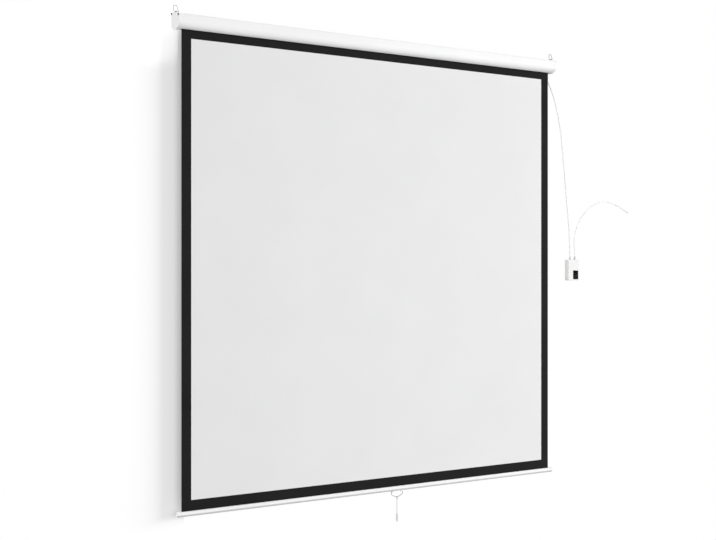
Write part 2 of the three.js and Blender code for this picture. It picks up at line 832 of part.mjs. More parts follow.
function makeBail() {
  const half = bailWidth / 2;
  const rightSide = bailXShares.map((share, i) => [
    bailOffCentre + share * half, fabricY, pivotZ - bailZShares[i] * bailHeight,
  ]);
  const leftSide = rightSide.map(([x, y, z]) => [2 * bailOffCentre - x, y, z]).reverse();
  const points = [...rightSide, [bailOffCentre, fabricY, apexZ], ...leftSide];
  put("bail", tube(points, bailWire, 44), zinc);
  for (const [name, side] of [["bail_foot_left", -1], ["bail_foot_right", 1]]) {
    const x = bailOffCentre + side * footShare * half;
    const top = barBottom - layerGap;
    const foot = prismX(
      roundedRectangle(
        fabricY - footDepth / 2, top - footHeight, fabricY + footDepth / 2, top, footCorner,
      ),
      x - footWidth / 2, x + footWidth / 2,
    );
    const hole = prismX(circle(fabricY, pivotZ, bailWire + seatGap), x - footWidth, x + footWidth);
    put(name, carve(foot, [], [hole]), whitePlastic);
  }
}

// Pull cord: looped round the bail, knotted, with a turned knob below
const knobRadiusShares = [0.8, 1, 0.95, 0.6];
const knobLengthShares = [0.12, 0.45, 0.75, 0.94];

function makePull() {
  const loopRadius = bailWire + seatGap + pullRadius;
  const loop = new THREE.TorusGeometry(loopRadius, pullRadius, wireSides, 16).rotateY(Math.PI / 2);
  const at = (geometry, below) => geometry.translate(bailOffCentre, fabricY, apexZ - below);
  const strand = downZ(rod(pullRadius, pullLength - loopRadius, wireSides));
  const knot = new THREE.SphereGeometry(knotRadius, 10, 8);
  put("pull_cord", carve(at(strand, loopRadius), [at(loop, 0), at(knot, knotBelow)], []), leadSheath);
  const sides = knobRadiusShares.map((share, i) => [share * knobRadius, knobLengthShares[i] * knobLength]);
  const profile = [[0, 0], [knobNeck, 0], ...sides, [0, knobLength]];
  put("pull_knob", at(downZ(turned(profile, 16)), pullLength + seatGap), greyPlastic);
}

// Strain relief: a neck through the wall, a shoulder outside it and a long cone
function reliefGeometry(inside) {
  return turned(
    [
      [0, -inside],
      [neckRadius, -inside],
      [neckRadius, 0],
      [shoulderRadius, 0],
      [shoulderRadius, shoulderHeight],
      [reliefBase, shoulderHeight],
      [reliefTip, shoulderHeight + reliefLength],
      [0, shoulderHeight + reliefLength],
    ],
    16,
  );
}

// Motor lead: from the gland under the motor end, along the wall to the switch
const motorCordRoute = [
  [947, -25.4, -78],
  [952, -25, -88],
  [959, -24, -96.5],
  [967, -22, -107],
  [980, -19, -127],
  [994, -16, -151],
  [1012, -12, -194],
  [1026, -9, -232],
  [1037, -6, -268],
  [1046, -5, -303],
  [1053, -4.5, -345],
  [1059, -4, -393],
  [1065, -4, -450],
  [1072, -4, -507],
  [1078, -4, -564],
  [1084, -4, -620],
  [1090, -4, -674],
  [1096, -4.5, -727],
  [1099, -7, -780],
  [1098, -11, -835],
];

const supplyCordRoute = [
  [1127.5, -13, -856],
  [1129.5, -11, -818],
  [1137.5, -8, -789],
  [1148, -6, -766],
  [1160, -5, -746],
  [1175, -4.5, -722],
  [1194, -4, -699],
  [1214, -4, -681],
  [1238, -4, -663],
  [1266, -4, -648],
  [1296, -4, -637],
  [1321, -4, -633],
  [1346, -4, -632],
  [1375, -4, -636],
  [1403, -4, -642.5],
  [1428, -4, -651],
  [1453, -4, -661.5],
  [1476, -4, -672],
];

function makeLeads() {
  const gland = downZ(reliefGeometry(neckInside)).translate(glandX, glandY, glandZ);
  put("cord_gland", gland, whitePlastic);
  const reliefs = [["relief_in", -1], ["relief_out", 1]].map(([name, side]) => {
    const x = switchX + (side * reliefSpacing) / 2;
    const z = switchTop + layerGap;
    put(name, upZ(reliefGeometry(neckInside)).translate(x, reliefY, z), greyPlastic);
    return [x, reliefY, z + reliefReach];
  });
  const motorRoute = [[glandX, glandY, glandZ - reliefReach], ...motorCordRoute, reliefs[0]];
  put("motor_cord", tube(motorRoute, leadRadius, 54), leadSheath);
  put("supply_cord", tube([reliefs[1], ...supplyCordRoute], leadRadius, 46), leadSheath);
  const end = new THREE.Vector3(...supplyCordRoute.at(-1));
  const before = new THREE.Vector3(...supplyCordRoute.at(-2));
  const heading = end.clone().sub(before).normalize();
  const sleeve = turned(
    [
      [0, 0],
      [sleeveRadius, 0],
      [sleeveRadius, sleeveLength],
      [sleeveBore, sleeveLength],
      [sleeveBore, sleeveLength - sleeveBoreDepth],
      [0, sleeveLength - sleeveBoreDepth],
    ],
    16,
  );
  sleeve.applyQuaternion(new THREE.Quaternion().setFromUnitVectors(new THREE.Vector3(0, 1, 0), heading));
  const start = end.addScaledVector(heading, seatGap + seatGap);
  put("end_sleeve", sleeve.translate(start.x, start.y, start.z), leadSheath);
}

// Switch: a tray on the wall, a filleted cover, and a rocker on an axle in its bezel
function makeSwitch() {
  const left = switchX - switchWidth / 2;
  const right = switchX + switchWidth / 2;
  const low = switchTop - switchHeight;
  const outline = (inset) => {
    const corner = Math.max(switchCorner - inset, inset);
    return roundedRectangle(left + inset, low + inset, right - inset, switchTop - inset, corner);
  };
  const pillarPlaces = [
    [left + pillarEdge, switchTop - pillarEdge],
    [left + pillarEdge, low + pillarEdge],
  ];
  const seatRadius = screwHeadRadius + seatGap;
  const coverBack = -baseDepth - seatGap;
  const coverFront = -switchDepth;
  const coverDepth = switchDepth - baseDepth - seatGap;
  const across = (x, z, radius, from, depth) => prismOut(circle(x, z, radius), from, depth);

  const tray = carve(
    prismOut(outline(0), 0, baseDepth),
    [],
    [
      prismOut(outline(switchWall), -switchWall, baseDepth + overrun),
      ...pillarPlaces.map(([x, z]) => across(x, z, portBore, overrun, switchDepth)),
      ...pillarPlaces.map(([x, z]) => across(x, z, seatRadius, overrun, overrun + switchWall / 2)),
    ],
  );
  put("switch_base", tray, whitePlastic);

  const shell = new THREE.ExtrudeGeometry(outline(0), {
    depth: coverDepth - switchEdge,
    bevelEnabled: true,
    bevelThickness: switchEdge,
    bevelSize: switchEdge,
    bevelOffset: -switchEdge,
    bevelSegments: 2,
  });
  shell.applyMatrix4(outwardBasis).translate(0, coverBack, 0);
  const rockerX = right - rockerRight;
  const rockerZ = low + rockerUp;
  const tilt = THREE.MathUtils.degToRad(rockerTilt);
  const pivotY = coverFront + axleBehindCover;
  const rockerFront = coverFront - rockerProud;
  const reach = (rockerHeight / 2) * Math.cos(tilt) + (pivotY - rockerFront) * Math.sin(tilt);
  const openHalfWidth = rockerWidth / 2 + runGap;
  const openHalfHeight = reach + runGap;
  const opening = (margin) =>
    roundedRectangle(
      rockerX - openHalfWidth - margin, rockerZ - openHalfHeight - margin,
      rockerX + openHalfWidth + margin, rockerZ + openHalfHeight + margin, bezelCorner / 2,
    );
  const reliefHoles = [-1, 1].map((side) =>
    upZ(rod(neckRadius + seatGap, switchHeight / 2)).translate(
      switchX + (side * reliefSpacing) / 2, reliefY, switchTop - neckInside - seatGap,
    ),
  );
  const inside = prismOut(outline(switchWall), coverBack + overrun, coverDepth - switchWall + overrun);
  const behind = boxBetween(
    [left - overrun, coverBack, low - overrun],
    [right + overrun, overrun, switchTop + overrun],
  );
  const hollow = carve(shell, [], [inside, behind]);
  const pillars = pillarPlaces.map(([x, z]) =>
    across(x, z, pillarRadius, -switchWall - seatGap, switchDepth - switchWall * 1.5 - seatGap),
  );
  const bores = pillarPlaces.map(([x, z]) => across(x, z, portBore, overrun, switchDepth - switchWall));
  const bezelHole = prismOut(opening(bezelSkirtWall + seatGap), 0, switchDepth + overrun);
  put("switch_cover", carve(hollow, pillars, [...bores, bezelHole, ...reliefHoles]), whitePlastic);
  pillarPlaces.forEach(([x, z], i) => {
    const screw = screwGeometry(screwHeadRadius, screwHeadHeight / 2, screwShankRadius, coverScrewLength);
    put(`switch_screw_${i + 1}`, screw.translate(x, -switchWall / 2 + layerGap, z), zinc);
  });

  const skirtBack = coverFront + bezelSkirt;
  const flange = prismOut(opening(bezelSkirtWall + bezelRim), coverFront - layerGap, bezelProud);
  const skirt = prismOut(opening(bezelSkirtWall), skirtBack, bezelSkirt + bezelProud / 2);
  const axleHole = towardsX(rod(axleRadius + layerGap, rockerWidth + 4 * overrun)).translate(
    rockerX - rockerWidth / 2 - 2 * overrun, pivotY, rockerZ,
  );
  const window = prismOut(opening(0), skirtBack + overrun, switchDepth + overrun);
  put("switch_bezel", carve(flange, [skirt], [window, axleHole]), blackPlastic);

  const halfHeight = rockerHeight / 2;
  const rockerBack = rockerFront + rockerThick;
  const paddle = new THREE.Shape();
  paddle.moveTo(rockerFront, rockerZ - halfHeight);
  paddle.lineTo(rockerBack, rockerZ - halfHeight + rockerDish);
  paddle.lineTo(rockerBack, rockerZ + halfHeight - rockerDish);
  paddle.lineTo(rockerFront, rockerZ + halfHeight);
  paddle.quadraticCurveTo(rockerFront + 2 * rockerDish, rockerZ, rockerFront, rockerZ - halfHeight);
  paddle.closePath();
  const body = prismX(paddle, rockerX - rockerWidth / 2, rockerX + rockerWidth / 2);
  const axle = towardsX(rod(axleRadius, rockerWidth + 2 * axleLength)).translate(
    rockerX - rockerWidth / 2 - axleLength, pivotY, rockerZ,
  );
  put("rocker", carve(body, [axle], []), blackPlastic);

  const blockFront = -switchWall - layerGap - blockDepth;
  const blockTop = switchTop - blockDrop;
  const block = boxBetween(
    [switchX - blockWidth / 2, blockFront, blockTop - blockHeight],
    [switchX + blockWidth / 2, -switchWall - layerGap, blockTop],
  );
  const wells = [-1, 0, 1].map((step) =>
    across(
      switchX + (step * blockWidth) / 3, blockTop - blockHeight / 2, blockBore,
      -switchWall - layerGap - blockDepth / 2, blockDepth + overrun,
    ),
  );
  put("terminal_block", carve(block, [], wells), greyPlastic);
  return { rockerX, rockerZ, pivotY };
}

makeCasing();
for (const [end, side] of [["left", -1], ["right", 1]]) {
  makeCap(`end_cap_${end}`, side);
  makeCapScrews(end, side);
  makeHangerPlate(`hanger_plate_${end}`, side);
  makeRing(`hang_ring_${end}`, side);
}
makeRoller();
makeIdler();
makeMotor();
makeFabric();
makeBar();
makeBail();
makePull();
makeLeads();
const rockerPlace = makeSwitch();

// Joint places and travels, for whoever rigs the model
const woundTurns = (fullRoll - wrapsOuter) / fabricThick;
const joints = {
  barTravel: rollerZ - barStopGap - stripTop,
  rollerAxis: [rollerY, rollerZ],
  rollerRadiansPerMillimetre: (-2 * Math.PI * woundTurns) / drop,
  ringEye: [plateInner + plateThick / 2, eyeY, ringZ],
  bailPivot: [bailOffCentre, fabricY, pivotZ],
  bailApex: [bailOffCentre, fabricY, apexZ],
  rocker: rockerPlace,
};
for (const [name, value] of Object.entries(joints)) console.log(name, JSON.stringify(value));

export default screen;
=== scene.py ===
"""Looks of the motorised wall screen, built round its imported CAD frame, in that frame's metres."""
import json
import math

import bmesh
import bpy
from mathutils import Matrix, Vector


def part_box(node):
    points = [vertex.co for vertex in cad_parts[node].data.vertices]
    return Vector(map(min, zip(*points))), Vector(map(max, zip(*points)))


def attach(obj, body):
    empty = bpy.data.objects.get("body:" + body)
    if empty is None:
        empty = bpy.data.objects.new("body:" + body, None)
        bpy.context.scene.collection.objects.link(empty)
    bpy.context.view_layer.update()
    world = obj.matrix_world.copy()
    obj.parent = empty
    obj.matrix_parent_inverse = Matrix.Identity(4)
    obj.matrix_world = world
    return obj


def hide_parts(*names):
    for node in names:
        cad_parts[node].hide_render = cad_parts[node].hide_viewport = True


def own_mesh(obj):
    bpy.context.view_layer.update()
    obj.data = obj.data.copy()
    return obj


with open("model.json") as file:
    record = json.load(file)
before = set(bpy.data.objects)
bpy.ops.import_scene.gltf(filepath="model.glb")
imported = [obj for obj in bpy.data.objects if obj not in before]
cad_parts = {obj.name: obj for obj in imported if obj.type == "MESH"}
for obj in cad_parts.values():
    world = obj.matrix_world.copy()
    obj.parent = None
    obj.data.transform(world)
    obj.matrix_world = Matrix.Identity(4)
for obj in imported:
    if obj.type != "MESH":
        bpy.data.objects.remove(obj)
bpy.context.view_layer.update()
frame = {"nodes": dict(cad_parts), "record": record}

nodes = frame["nodes"]


def link(name, data):
    obj = bpy.data.objects.new(name, data)
    bpy.context.scene.collection.objects.link(obj)
    return obj


def aim(obj, place, ahead):
    """Puts a camera or a lamp at a place, facing ahead."""
    obj.location = place
    obj.rotation_mode = "QUATERNION"
    obj.rotation_quaternion = Vector(ahead).to_track_quat("-Z", "Y")
    return obj


# Camera: level, and left of the screen
EYE = (-2.758, -4.172, -0.9672)
AHEAD = (0.53741, 0.84332, 0.0)
LENS_MM = 58.45
SENSOR_MM = 36
FARTHEST_SEEN = 60

camera = aim(link("camera", bpy.data.cameras.new("camera")), EYE, AHEAD)
camera.data.lens = LENS_MM
camera.data.sensor_width = SENSOR_MM
camera.data.clip_end = FARTHEST_SEEN
bpy.context.scene.camera = camera


# Angles and lines
def round_once(count):
    """Angles once round a circle, in equal steps."""
    return [2 * math.pi * i / count for i in range(count)]


def sweep(turn, steps):
    """Angles from the first to the last of a pair in degrees, in equal steps."""
    first, last = turn
    return [math.radians(first + (last - first) * i / steps) for i in range(steps + 1)]


def on_circle(centre, radius, angle):
    return centre[0] + radius * math.cos(angle), centre[1] + radius * math.sin(angle)


def centre_of(name):
    """The (y, z) middle of a node that lies along X."""
    least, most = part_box(name)
    return (least.y + most.y) / 2, (least.z + most.z) / 2


def smooth_line(points, steps=6):
    """Points along the centripetal curve through the given ones, as the CAD's tubes follow it."""
    p = [Vector(q) for q in points]
    p = [2 * p[0] - p[1], *p, 2 * p[-1] - p[-2]]
    line = [p[1]]
    for a, b, c, d in zip(p, p[1:], p[2:], p[3:]):
        ab, bc, cd = ((v - u).length ** 0.5 for u, v in ((a, b), (b, c), (c, d)))
        leave = ((b - a) / ab - (c - a) / (ab + bc) + (c - b) / bc) * bc
        arrive = ((c - b) / bc - (d - b) / (bc + cd) + (d - c) / cd) * bc
        for i in range(1, steps + 1):
            t = i / steps
            h = t * t * (3 - 2 * t)
            line.append(
                b * (1 - h) + c * h + leave * (t * (1 - t) ** 2) - arrive * (t * t * (1 - t))
            )
    return line


def round_wire(name, points, radius, closed=False, bevel_steps=5):
    data = bpy.data.curves.new(name, "CURVE")
    data.dimensions = "3D"
    data.bevel_depth = radius
    data.bevel_resolution = bevel_steps
    data.use_fill_caps = not closed
    spline = data.splines.new("POLY")
    spline.points.add(len(points) - 1)
    for point, place in zip(spline.points, points):
        point.co = (*place, 1)
    spline.use_cyclic_u = closed
    spline.use_smooth = True
    return link(name, data)


# Cords: the routes of the CAD model, in metres
LEAD_RADIUS = 0.003
MOTOR_ROUTE = [
    (0.946, -0.0258, -0.0614), (0.947, -0.0254, -0.078), (0.952, -0.025, -0.088),
    (0.959, -0.024, -0.0965), (0.967, -0.022, -0.107), (0.98, -0.019, -0.127),
    (0.994, -0.016, -0.151), (1.012, -0.012, -0.194), (1.026, -0.009, -0.232),
    (1.037, -0.006, -0.268), (1.046, -0.005, -0.303), (1.053, -0.0045, -0.345),
    (1.059, -0.004, -0.393), (1.065, -0.004, -0.45), (1.072, -0.004, -0.507),
    (1.078, -0.004, -0.564), (1.084, -0.004, -0.62), (1.09, -0.004, -0.674),
    (1.096, -0.0045, -0.727), (1.099, -0.007, -0.78), (1.098, -0.011, -0.835),
    (1.09675, -0.015, -0.9016),
]
SUPPLY_ROUTE = [
    (1.12725, -0.015, -0.9016), (1.1275, -0.013, -0.856), (1.1295, -0.011, -0.818),
    (1.1375, -0.008, -0.789), (1.148, -0.006, -0.766), (1.16, -0.005, -0.746),
    (1.175, -0.0045, -0.722), (1.194, -0.004, -0.699), (1.214, -0.004, -0.681),
    (1.238, -0.004, -0.663), (1.266, -0.004, -0.648), (1.296, -0.004, -0.637),
    (1.321, -0.004, -0.633), (1.346, -0.004, -0.632), (1.375, -0.004, -0.636),
    (1.403, -0.004, -0.6425), (1.428, -0.004, -0.651), (1.453, -0.004, -0.6615),
    (1.476, -0.004, -0.672),
]
STRING_RADIUS = 0.0012
APEX = Vector((0.072, -0.043, -1.9438))
STRING_TOP = 0.0028
STRING_END = 0.0685
STRING_STEPS = 14


def down_string(i):
    return APEX - Vector((0, 0, STRING_TOP + (STRING_END - STRING_TOP) * i / STRING_STEPS))


motor_cord = round_wire("motor_cord_sheath", smooth_line(MOTOR_ROUTE), LEAD_RADIUS)
supply_cord = round_wire("supply_cord_sheath", smooth_line(SUPPLY_ROUTE), LEAD_RADIUS)
string = round_wire("pull_string", [down_string(i) for i in range(STRING_STEPS + 1)], STRING_RADIUS)


# Shader nodes
def shader(name):
    made = bpy.data.materials.new(name)
    made.use_nodes = True
    tree = made.node_tree
    return made, tree, tree.nodes["Principled BSDF"]


def node(tree, kind, settings=(), inputs=()):
    new = tree.nodes.new(kind)
    for key, value in dict(settings).items():
        setattr(new, key, value)
    for key, value in dict(inputs).items():
        if isinstance(value, bpy.types.NodeSocket):
            tree.links.new(value, new.inputs[key])
        else:
            new.inputs[key].default_value = value
    return new


def places(tree, stretch=(1, 1, 1)):
    here = node(tree, "ShaderNodeTexCoord").outputs["Object"]
    return node(tree, "ShaderNodeMapping", inputs={"Vector": here, "Scale": stretch}).outputs[0]


def noise(tree, where, size, detail=3.0, rough=0.55):
    """Noise whose features are about size metres across."""
    inputs = {"Vector": where, "Scale": 1 / size, "Detail": detail, "Roughness": rough}
    return node(tree, "ShaderNodeTexNoise", inputs=inputs).outputs["Fac"]


def spread(tree, value, low, high, start=0.3, end=0.7):
    """Runs from low to high while the value goes from start to end, where most noise lies."""
    inputs = {"Value": value, "From Min": start, "From Max": end, "To Min": low, "To Max": high}
    return node(tree, "ShaderNodeMapRange", inputs=inputs).outputs[0]


def maths(tree, operation, first, second):
    return node(tree, "ShaderNodeMath", {"operation": operation}, {0: first, 1: second}).outputs[0]


def raised(tree, height, distance):
    inputs = {"Height": height, "Distance": distance, "Strength": 1.0}
    return node(tree, "ShaderNodeBump", inputs=inputs).outputs[0]


def rgb(colour, times=1.0):
    return (*(min(1.0, c * times) for c in colour), 1.0)


def mottled(tree, share, colour, mottle):
    """The colour, a little darker or paler by a share from 0 to 1."""
    inputs = {0: share, 6: rgb(colour, 1 - mottle), 7: rgb(colour, 1 + mottle)}
    return node(tree, "ShaderNodeMix", {"data_type": "RGBA"}, inputs).outputs[2]


# Materials: colour, roughness and bump come from noise in the object's own metres
def moulded(name, colour, roughness, mottle, patch, grain, depth,
            metallic=0.0, swing=(-0.05, 0.05), stretch=(1, 1, 1), specular=0.5):
    """A hard surface: drifting tone, roughness that swings in smears, and a fine raised grain."""
    made, tree, out = shader(name)
    drift = spread(tree, noise(tree, places(tree), patch), 0, 1)
    tree.links.new(mottled(tree, drift, colour, mottle), out.inputs["Base Color"])
    along = places(tree, stretch)
    fine = noise(tree, along, grain, detail=4.0, rough=0.6)
    smears = noise(tree, along, patch / 3, detail=5.0, rough=0.65)
    rough = spread(tree, smears, roughness + swing[0], roughness + swing[1])
    tree.links.new(rough, out.inputs["Roughness"])
    tree.links.new(raised(tree, fine, depth), out.inputs["Normal"])
    out.inputs["Metallic"].default_value = metallic
    out.inputs["Specular IOR Level"].default_value = specular
    return made


# The wave scale that sets bands one metre apart
BAND_SCALE = math.pi / 10
THREAD_SHADE = 0.985
GRAIN_PER_PITCH = 1.7
CLOTH_SWING = 0.04
CLOTH_PATCH = 0.25


def woven(name, colour, pitch, depth, mottle, roughness, specular):
    """Coated cloth: fine threads along and across, under a matte coat with faint drifts of tone."""
    made, tree, out = shader(name)
    where = places(tree)
    threads = [
        node(
            tree, "ShaderNodeTexWave",
            {"wave_type": "BANDS", "bands_direction": direction, "wave_profile": "SIN"},
            {"Vector": where, "Scale": BAND_SCALE / pitch, "Distortion": 0.6, "Detail": 1.0},
        ).outputs["Fac"]
        for direction in ("X", "Z")
    ]
    weave = maths(tree, "MULTIPLY", *threads)
    drift = spread(tree, noise(tree, where, CLOTH_PATCH, detail=4.0), 0, 1)
    tone = mottled(tree, drift, colour, mottle)
    shade = spread(tree, weave, THREAD_SHADE, 1.0, 0, 1)
    shaded = node(tree, "ShaderNodeVectorMath", {"operation": "SCALE"}, {0: tone, "Scale": shade})
    tree.links.new(shaded.outputs[0], out.inputs["Base Color"])
    grain = maths(tree, "ADD", weave, noise(tree, where, pitch * GRAIN_PER_PITCH))
    tree.links.new(raised(tree, grain, depth), out.inputs["Normal"])
    patches = noise(tree, where, CLOTH_PATCH / 4)
    rough = spread(tree, patches, roughness - CLOTH_SWING, roughness + CLOTH_SWING)
    tree.links.new(rough, out.inputs["Roughness"])
    out.inputs["Specular IOR Level"].default_value = specular
    return made


painted = moulded(
    "white_powder_coat", (0.9, 0.9, 0.9), roughness=0.48, mottle=0.012, patch=0.3,
    grain=0.0011, depth=0.00003, specular=0.18,
)
plastic = moulded(
    "white_moulded_plastic", (0.88, 0.88, 0.875), roughness=0.44, mottle=0.015, patch=0.03,
    grain=0.0005, depth=0.00002,
)
switch_plastic = moulded(
    "white_switch_plastic", (0.8, 0.8, 0.795), roughness=0.5, mottle=0.015, patch=0.02,
    grain=0.0005, depth=0.00002, specular=0.2,
)
zinc = moulded(
    "zinc_plate", (0.5, 0.51, 0.53), roughness=0.36, mottle=0.12, patch=0.006,
    grain=0.0009, depth=0.00002, metallic=1.0, swing=(-0.1, 0.12),
)
wire_zinc = moulded(
    "zinc_wire", (0.2, 0.203, 0.208), roughness=0.4, mottle=0.2, patch=0.004,
    grain=0.0006, depth=0.00001, metallic=0.7, swing=(-0.1, 0.12),
)
dark_metal = moulded(
    "black_oxide", (0.02, 0.02, 0.021), roughness=0.42, mottle=0.2, patch=0.002,
    grain=0.0003, depth=0.00001, metallic=0.6,
)
aluminium = moulded(
    "mill_aluminium", (0.62, 0.63, 0.65), roughness=0.34, mottle=0.05, patch=0.02,
    grain=0.0008, depth=0.00002, metallic=1.0, swing=(-0.08, 0.1), stretch=(0.02, 1, 1),
)
black_plastic = moulded(
    "black_moulded_plastic", (0.004, 0.004, 0.0045), roughness=0.34, mottle=0.15, patch=0.01,
    grain=0.0004, depth=0.00002, specular=0.02,
)
grey_plastic = moulded(
    "grey_moulded_plastic", (0.62, 0.625, 0.64), roughness=0.45, mottle=0.05, patch=0.01,
    grain=0.0005, depth=0.00002,
)
# Painted shade: this grey, darker than the bar's white paint, colours the strip that stands in for
# the shade under the bar
painted_shade_grey = moulded(
    "bar_shade_paint", (0.6, 0.6, 0.605), roughness=0.5, mottle=0.03, patch=0.02,
    grain=0.0005, depth=0.00002, specular=0.2,
)
sheath = moulded(
    "lead_sheath", (0.86, 0.86, 0.85), roughness=0.42, mottle=0.04, patch=0.02,
    grain=0.0008, depth=0.00003, stretch=(1, 1, 0.25),
)
braid = moulded(
    "pull_string_braid", (0.45, 0.45, 0.46), roughness=0.7, mottle=0.12, patch=0.004,
    grain=0.0009, depth=0.0001, specular=0.2,
)
image_cloth = woven(
    "matte_white_cloth", (0.8, 0.8, 0.805), pitch=0.0006, depth=0.00006, mottle=0.012,
    roughness=0.92, specular=0.25,
)
border_cloth = woven(
    "black_border_cloth", (0.0115, 0.0115, 0.012), pitch=0.0006, depth=0.00006, mottle=0.12,
    roughness=0.88, specular=0.12,
)
back_cloth = woven(
    "black_backing_cloth", (0.016, 0.016, 0.017), pitch=0.0008, depth=0.0001, mottle=0.15,
    roughness=0.9, specular=0.15,
)

SLOT_LOOKS = {
    "white_paint": painted,
    "white_plastic": plastic,
    "screen_white": image_cloth,
    "black_cloth": border_cloth,
    "zinc": zinc,
    "dark_screw": dark_metal,
    "aluminium": aluminium,
    "black_plastic": black_plastic,
    "lead_sheath": sheath,
    "grey_plastic": grey_plastic,
}
OWN_LOOKS = {
    "hang_ring_left": wire_zinc,
    "hang_ring_right": wire_zinc,
    "bail": wire_zinc,
    "switch_base": switch_plastic,
    "switch_cover": switch_plastic,
}


def dress(obj, *materials):
    obj.data.materials.clear()
    for one in materials:
        obj.data.materials.append(one)


# CAD nodes: each gets its material, and shading that is smooth except over sharp edges
SHARP_FROM = math.radians(50)
WELD = 0.00001


def shade_by_angle():
    tree = bpy.data.node_groups.new("shade_by_angle", "GeometryNodeTree")
    for way in ("INPUT", "OUTPUT"):
        tree.interface.new_socket("Geometry", in_out=way, socket_type="NodeSocketGeometry")
    packed = node(tree, "NodeGroupInput").outputs[0]
    bare = node(tree, "GeometryNodeRemoveAttribute", inputs={0: packed, "Name": "custom_normal"})
    weld = node(tree, "GeometryNodeMergeByDistance", inputs={0: bare.outputs[0], "Distance": WELD})
    soft = node(
        tree, "GeometryNodeSetShadeSmooth", inputs={0: weld.outputs[0], "Shade Smooth": True}
    )
    angle = node(tree, "GeometryNodeInputMeshEdgeAngle").outputs["Unsigned Angle"]
    over = node(
        tree, "FunctionNodeCompare", {"operation": "GREATER_THAN"}, {0: angle, 1: SHARP_FROM}
    )
    hard = node(
        tree, "GeometryNodeSetShadeSmooth", {"domain": "EDGE"},
        {0: soft.outputs[0], "Selection": over.outputs[0], "Shade Smooth": False},
    )
    node(tree, "NodeGroupOutput", inputs={0: hard.outputs[0]})
    return tree


by_angle = shade_by_angle()
for part in frame["record"]["subparts"]:
    name = part["node"]
    dress(nodes[name], OWN_LOOKS.get(name, SLOT_LOOKS[part["material_slot"]]))
    nodes[name].modifiers.new("shade_by_angle", "NODES").node_group = by_angle
    nodes[name].modifiers.new("even_normals", "WEIGHTED_NORMAL").keep_sharp = True


# Pieces
def mesh_piece(name, points, faces, materials, face_looks=()):
    """A mesh whose faces take the first material, or the one that face_looks numbers."""
    data = bpy.data.meshes.new(name)
    data.from_pydata([tuple(p) for p in points], [], faces)
    obj = link(name, data)
    dress(obj, *materials)
    for face, look in zip(data.polygons, face_looks):
        face.material_index = look
    data.update()
    return obj


def stand_for(obj, body, slot, *replaced):
    """obj rides on a body and stands for CAD nodes; slot is not used."""
    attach(obj, body)
    if replaced:
        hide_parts(*replaced)


def run_along_x(name, outline, x_low, x_high, materials, cells, looks=None):
    """A closed (y, z) outline run along X, with caps; looks numbers each side's material."""
    count = len(outline)
    area = sum(a[0] * b[1] - b[0] * a[1] for a, b in zip(outline, outline[1:] + outline[:1])) / 2
    steps = [x_low + (x_high - x_low) * i / cells for i in range(cells + 1)]
    points = [(x, y, z) for x in steps for y, z in outline]
    faces, which = [], []
    for k in range(cells):
        near, far = k * count, (k + 1) * count
        for i in range(count):
            j = (i + 1) % count
            faces.append((near + i, near + j, far + j, far + i))
            which.append(looks[i] if looks else 0)
    faces.append(tuple(range(count))[::-1])
    faces.append(tuple(cells * count + i for i in range(count)))
    if area < 0:
        faces = [face[::-1] for face in faces]
    return mesh_piece(name, points, faces, materials, which + [0, 0])


def ribbon(line, thick):
    """The closed outline of a ribbon of cloth along a line of (y, z) points."""
    sides = [[], []]
    for i, (y, z) in enumerate(line):
        before, after = line[max(i - 1, 0)], line[min(i + 1, len(line) - 1)]
        dy, dz = after[0] - before[0], after[1] - before[1]
        length = math.hypot(dy, dz)
        for side, sign in zip(sides, (1, -1)):
            side.append((y - sign * dz / length * thick / 2, z + sign * dy / length * thick / 2))
    return sides[0] + sides[1][::-1]


# Cap screws: pan heads with a cross recess, on the outer faces of the end caps
HEAD_RADIUS = 0.0041
HEAD_HEIGHT = 0.0026
HEAD_PROFILE_SHARES = [(1, 0), (1, 0.45), (0.95, 0.72), (0.84, 0.92), (0.66, 1)]
HEAD_SIDES = 32
RECESS_ARM_SHARE = 0.5
RECESS_HALF_WIDTH_SHARE = 0.11
RECESS_FLOOR_SHARE = 0.8
RECESS_DEPTH = 0.0012


def screw_head(name, x, middle, outwards):
    """A pan head on the plane at x, about a (y, z) middle, whose rise points outwards along X."""
    bm = bmesh.new()

    def at(across, up, rise):
        return bm.verts.new((x + outwards * rise, middle[0] + across, middle[1] + up))

    def ring(radius, rise):
        return [at(*on_circle((0, 0), radius, t), rise) for t in round_once(HEAD_SIDES)]

    def cross(scale, rise):
        arm = HEAD_RADIUS * RECESS_ARM_SHARE * scale
        half = HEAD_RADIUS * RECESS_HALF_WIDTH_SHARE
        corners = [(arm, -half), (arm, half), (half, half)]
        spots = []
        for _ in range(4):
            spots += [at(u, v, rise) for u, v in corners]
            corners = [(-v, u) for u, v in corners]
        return spots

    def next_in(loop):
        return zip(loop, loop[1:] + loop[:1])

    def band(lower, upper):
        for (a, b), (c, d) in zip(next_in(lower), next_in(upper)):
            bm.faces.new((a, b, d, c))

    rings = [ring(HEAD_RADIUS * share, HEAD_HEIGHT * rise) for share, rise in HEAD_PROFILE_SHARES]
    for lower, upper in zip(rings, rings[1:]):
        band(lower, upper)
    bm.faces.new(rings[0][::-1])
    mouth = cross(1, HEAD_HEIGHT)
    pit = cross(RECESS_FLOOR_SHARE, HEAD_HEIGHT - RECESS_DEPTH)
    band(mouth, pit)
    bm.faces.new((pit[2], pit[5], pit[8], pit[11]))
    for k in range(4):
        bm.faces.new((pit[3 * k - 1], pit[3 * k], pit[3 * k + 1], pit[3 * k + 2]))
    top_edges = [bm.edges.get(pair) for loop in (rings[-1], mouth) for pair in next_in(loop)]
    bmesh.ops.triangle_fill(bm, use_beauty=True, edges=top_edges)
    bmesh.ops.recalc_face_normals(bm, faces=bm.faces)
    data = bpy.data.meshes.new(name)
    bm.to_mesh(data)
    bm.free()
    for face in data.polygons:
        face.use_smooth = True
    data.set_sharp_from_angle(angle=SHARP_FROM)
    obj = link(name, data)
    dress(obj, dark_metal)
    return obj


